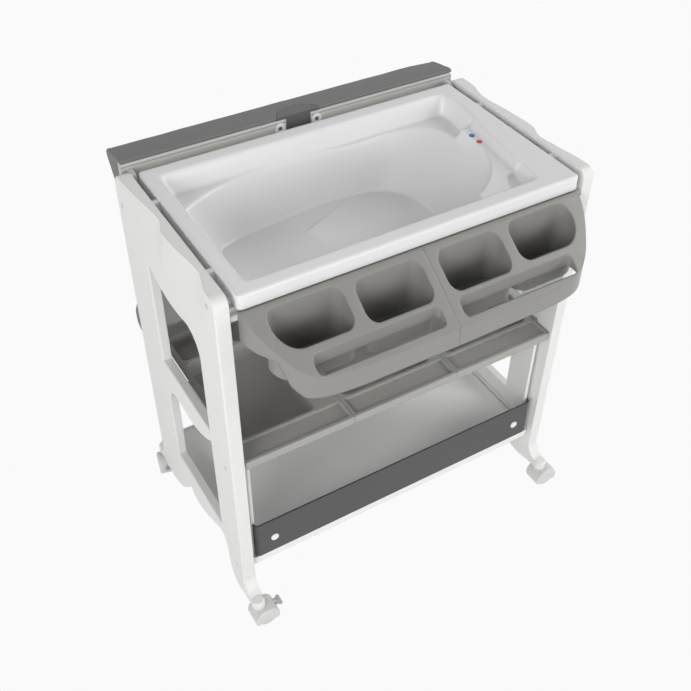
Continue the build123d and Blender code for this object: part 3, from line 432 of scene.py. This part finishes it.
for level, inset in lip_levels:
    lip_ring = edge_points.copy()
    lip_ring[:, 2] = level / 1000
    lip_ring[:, :2] -= np.sign(lip_ring[:, :2] - tub_middle) * inset / 1000
    below = rows * columns + len(lip_rings) * len(ring_ids) + np.arange(len(ring_ids))
    faces.append(np.stack([above, np.roll(above, -1), np.roll(below, -1), below], -1))
    lip_rings.append(lip_ring)
    above = below
tub_points = np.concatenate([sheet_points.reshape(-1, 3)] + lip_rings)
tub = piece("bathtub_sheet", tub_points, np.concatenate(faces).tolist(), tub_white)
thick = tub.modifiers.new("wall", "SOLIDIFY")
thick.thickness = tub_wall / 1000
thick.offset = -1
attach(tub, "table")
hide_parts("bathtub")

# Locating ribs of the bathtub
# Two short blocks on each side of the lip, moulded with the tub, that centre it between the
# panels. They fill the narrow gap and show as pale steps in its shade. Sizes are in millimetres.
rib_x = (364.5, 381.7)
rib_half = 6
rib_middle_y = (105.0, -136.0)
rib_z = (870, 896)
rib_plan = [(rib_x[0], -rib_half), (rib_x[1], -rib_half), (rib_x[1], rib_half), (rib_x[0], rib_half)]
rib_corners = np.array([(x, y, z) for z in rib_z for x, y in rib_plan])
rib_sides = np.array([(0, 3, 2, 1), (4, 5, 6, 7), (0, 1, 5, 4), (1, 2, 6, 5), (2, 3, 7, 6), (3, 0, 4, 7)])
rib_points = []
rib_faces = []
for side in (-1, 1):
    for middle_y in rib_middle_y:
        outward = rib_sides if side > 0 else rib_sides[:, ::-1]
        rib_faces += (outward + len(rib_points) * len(rib_corners)).tolist()
        rib_points.append((rib_corners + (0, middle_y + table_middle_y, 0)) * (side, 1, 1) / 1000)
ribs = piece("bathtub_ribs", rib_points, rib_faces, tub_white)
ribs.data.polygons.foreach_set("use_smooth", np.zeros(len(rib_faces), bool))
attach(ribs, "table")

# Organizers
# Two mirrored modules of satin grey plastic in front of the tub, each with two deep cups and a
# slot that goes right through. A tongue on each lies in the front rail's rebate.
organizer_grey = plastic("organizer grey", (0.262, 0.257, 0.243), 0.38, 0.005, grain=0.2)
dress(organizer_grey, "organizer")

# Changing board
# A grey moulded board that hangs behind the tub, tilts up on steel pins and slides forward on two
# guide blocks in its grooves. Its top edge is a paler rail with a dark line of painted shade along
# it, standing in for the shade in a moulded groove.
# Height, half width, soft edge and depth of the painted groove shade on the board rail.
painted_groove_z, painted_groove_half, painted_groove_edge, painted_groove_shade = 0.902, 0.0012, 0.0006, 0.45


def shade_where(material, inside, amount):
    """Paints shade into a finish: scales its colour by 1 - amount * inside, where inside is a node's 0 to
    1 output.
    """
    tree = material.node_tree
    scale = next(node for node in tree.nodes if node.type == "VECT_MATH")
    plain = scale.inputs["Scale"].links[0].from_socket
    shade = tree.nodes.new("ShaderNodeMath")
    shade.operation = "MULTIPLY_ADD"
    shade.inputs[1].default_value = -amount
    shade.inputs[2].default_value = 1
    tree.links.new(inside, shade.inputs[0])
    both = tree.nodes.new("ShaderNodeMath")
    both.operation = "MULTIPLY"
    tree.links.new(plain, both.inputs[0])
    tree.links.new(shade.outputs[0], both.inputs[1])
    tree.links.new(both.outputs[0], scale.inputs["Scale"])


def band(material, axis, middle, half, soft):
    """Node output that is 1 where the size of a coordinate, in metres, lies within half of the middle
    and falls to 0 over a soft edge."""
    tree = material.node_tree
    place = tree.nodes.new("ShaderNodeTexCoord")
    parts = tree.nodes.new("ShaderNodeSeparateXYZ")
    tree.links.new(place.outputs["Object"], parts.inputs[0])
    size = tree.nodes.new("ShaderNodeMath")
    size.operation = "ABSOLUTE"
    tree.links.new(parts.outputs[axis], size.inputs[0])
    apart = tree.nodes.new("ShaderNodeMath")
    apart.operation = "SUBTRACT"
    tree.links.new(size.outputs[0], apart.inputs[0])
    apart.inputs[1].default_value = middle
    off = tree.nodes.new("ShaderNodeMath")
    off.operation = "ABSOLUTE"
    tree.links.new(apart.outputs[0], off.inputs[0])
    near = tree.nodes.new("ShaderNodeMapRange")
    near.inputs["From Min"].default_value = half
    near.inputs["From Max"].default_value = half + soft
    near.inputs["To Min"].default_value = 1
    near.inputs["To Max"].default_value = 0
    tree.links.new(off.outputs[0], near.inputs["Value"])
    return near.outputs["Result"]


board_grey = plastic("board grey", (0.55, 0.54, 0.52), 0.5, 0.001, grain=0.15)
rail_grey = plastic("board rail grey", (0.60, 0.595, 0.58), 0.4, 0.0008, grain=0.1)
guide_grey = plastic("guide grey", (0.62, 0.62, 0.61), 0.4, 0.0008)
# Painted shade: a dark line in the rail's colour that stands in for the shade in a moulded groove.
shade_where(rail_grey, band(rail_grey, "Z", painted_groove_z, painted_groove_half, painted_groove_edge), painted_groove_shade)
dress(board_grey, "changing_board")
dress(rail_grey, "board_rail")
dress(guide_grey, "guide_block")
dress(screw_steel, "pivot_pin")

# Changing mat
# A soft grey cover over foam on the board's back, with a raised wedge along each long edge and
# sewn channels between them. Its right end is drawn in toward the board, a piped seam runs round
# each end, and a half moon is cut out for the grip. Sizes are in millimetres.
mat_half_length = 391.5
mat_back_y = 253.3
back_fade = 12
end_run, left_fall, right_fall = 60, 0.01, 0.12
end_round, end_drop = 5, 1.6
piping_x, piping_width, piping_rise = 388, 1.5, 1.2
crease_rise = 0.35
scoop_y, scoop_radius, scoop_half, scoop_floor_z = 218.35, 53.65, 50.9, 900
fine_half, fine_step = 54.0, 1.5
mat_grey = plastic("mat grey", (0.155, 0.160, 0.155), 0.62, 0.002, grain=0.6, mottle=0.03)
dress(mat_grey, "changing_mat")


def curve_through(points, count):
    """Evenly spaced points on the Catmull-Rom curve through the given points."""
    p = np.array(points, float)
    p = np.concatenate([[2 * p[0] - p[1]], p, [2 * p[-1] - p[-2]]])
    s = np.linspace(0, 1, 30, endpoint=False)[:, None, None]
    path = catmull_rom(p[:-3], p[1:-2], p[2:-1], p[3:], s)
    path = np.concatenate([path.transpose(1, 0, 2).reshape(-1, 2), p[-2:-1]])
    run = np.concatenate([[0], np.cumsum(np.hypot(*np.diff(path, axis=0).T))])
    at = np.linspace(0, run[-1], count)
    return np.stack([np.interp(at, run, path[:, 0]), np.interp(at, run, path[:, 1])], -1)


def mat_points():
    """Rings of the mat along X, each (y, z) = back + share(x) * (face - back) + piping + creases.
    share falls from 1 by the end's own fall over end_run, and the piping is a low bell curve beside
    each end's edge. Creases are a product of two slow waves. The scoop keeps y in the middle of the
    front lip, above scoop_floor_z, at no less than scoop_y plus the half chord of a circle of
    scoop_radius at x."""
    face = curve_through([(237, 910), (235.6, 913), (240, 916.5), (262, 914.5), (292, 910), (312, 905.5),
                          (320.5, 898), (319, 886), (304, 861), (286, 829), (272, 804), (266, 792),
                          (269, 780), (272.5, 740), (274, 690), (272.5, 640), (269, 592), (266, 580),
                          (272, 567), (286, 541), (304, 509), (319, 484), (322, 462), (318, 444),
                          (300, 433), (275, 430), (260, 430.5)], 260)
    back = np.array([(mat_back_y, z) for z in (433.0, 560.0, 700.0, 840.0, 909.3)] + [(237.0, 909.3)])
    tangent = np.gradient(face, axis=0)
    normal = np.stack([-tangent[:, 1], tangent[:, 0]], -1) / np.hypot(*tangent.T)[:, None]
    end_steps = np.concatenate([[0.0], np.full(16, 0.6), np.linspace(0.8, 6.0, 14)])
    ends = mat_half_length - np.cumsum(end_steps)
    middle = np.arange(-fine_half, fine_half + fine_step / 2, fine_step)
    between = np.linspace(ends[-1], fine_half, 50)[1:-1]
    x = np.concatenate([-ends, -between, middle, between[::-1], ends[::-1]])
    at = x[:, None]
    fall = np.clip((mat_half_length - end_run - abs(at)) / -end_run, 0, 1)
    share = 1 - np.where(at > 0, right_fall, left_fall) * fall
    ahead = np.maximum(face[:, 0] - mat_back_y, 0)
    round_in = np.clip((abs(at) - (mat_half_length - end_round)) / end_round, 0, 1)
    piping = piping_rise * np.exp(-((abs(at) - piping_x) / piping_width) ** 2)
    puff = piping - end_drop * round_in ** 2
    wave = np.sin(at / 17 + 3 * np.sin(face[:, 1] / 61))
    crease = crease_rise * wave * np.sin(face[:, 1] / 23 + 2 * np.sin(at / 83))
    push = (puff + crease * (1 - round_in)) * np.clip(ahead / back_fade, 0, 1)
    skin_y = face[:, 0] + ahead * (share - 1) + normal[:, 0] * push
    skin_z = face[:, 1] + normal[:, 1] * push
    skin = np.stack([skin_y, skin_z], -1)
    rings = np.concatenate([skin, np.tile(back, (len(x), 1, 1))], 1)
    for row in np.flatnonzero(abs(x) < scoop_half):
        bound = scoop_y + math.sqrt(scoop_radius ** 2 - x[row] ** 2)
        outline = rings[row, :len(face)]
        front = (outline[:, 1] > scoop_floor_z) & (outline[:, 0] < bound)
        top = outline[3:28]
        lip = np.interp(bound, top[:, 0], top[:, 1])
        outline[front, 1] = np.minimum(outline[front, 1], lip)
        outline[front, 0] = bound
        rings[row, -1, 0] = bound
    return x, rings


mat_x, mat_rings = mat_points()
count = mat_rings.shape[1]
shell = np.concatenate([np.repeat(mat_x[:, None], count, 1)[..., None], mat_rings], -1)
shell[..., 1] += table_middle_y
ids = np.arange(shell.shape[0] * count).reshape(shell.shape[0], count)
wrapped = np.concatenate([ids, ids[:, :1]], 1)
mat_quads = np.stack([wrapped[:-1, :-1], wrapped[:-1, 1:], wrapped[1:, 1:], wrapped[1:, :-1]], -1)
mat_faces = mat_quads.reshape(-1, 4).tolist() + [ids[0, ::-1].tolist(), ids[-1].tolist()]
mat = piece("changing_mat_cover", shell.reshape(-1, 3) / 1000, mat_faces, mat_grey)
for cap in (-2, -1):
    mat.data.polygons[cap].use_smooth = False
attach(mat, "board")
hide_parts("changing_mat")

# Grip and rings
# A dark plastic grip fills the half moon scoop in the middle of the board's top edge. A white
# moulded ring sits on each side of the grip, with painted shade in its dish that stands in for the
# shade in its hollow.
ring_x, ring_z = 0.0435, 0.8905
# Half width, soft edge and depth of the painted shade in each ring's dish.
dish_half, dish_edge, painted_dish_shade = 0.0035, 0.001, 0.85
grip_grey = plastic("grip grey", (0.10, 0.10, 0.098), 0.5, 0.001, grain=0.2)
ring_white = plastic("ring white", (0.84, 0.84, 0.84), 0.22, 0.0012)
dish = ring_white.node_tree.nodes.new("ShaderNodeMath")
dish.operation = "MULTIPLY"
ring_white.node_tree.links.new(band(ring_white, "X", ring_x, dish_half, dish_edge), dish.inputs[0])
ring_white.node_tree.links.new(band(ring_white, "Z", ring_z, dish_half, dish_edge), dish.inputs[1])
# Painted shade: darkens the ring's colour in its dish, standing in for the shade in its hollow.
shade_where(ring_white, dish.outputs[0], painted_dish_shade)
dress(grip_grey, "handle_grip")
dress(ring_white, "handle_button")
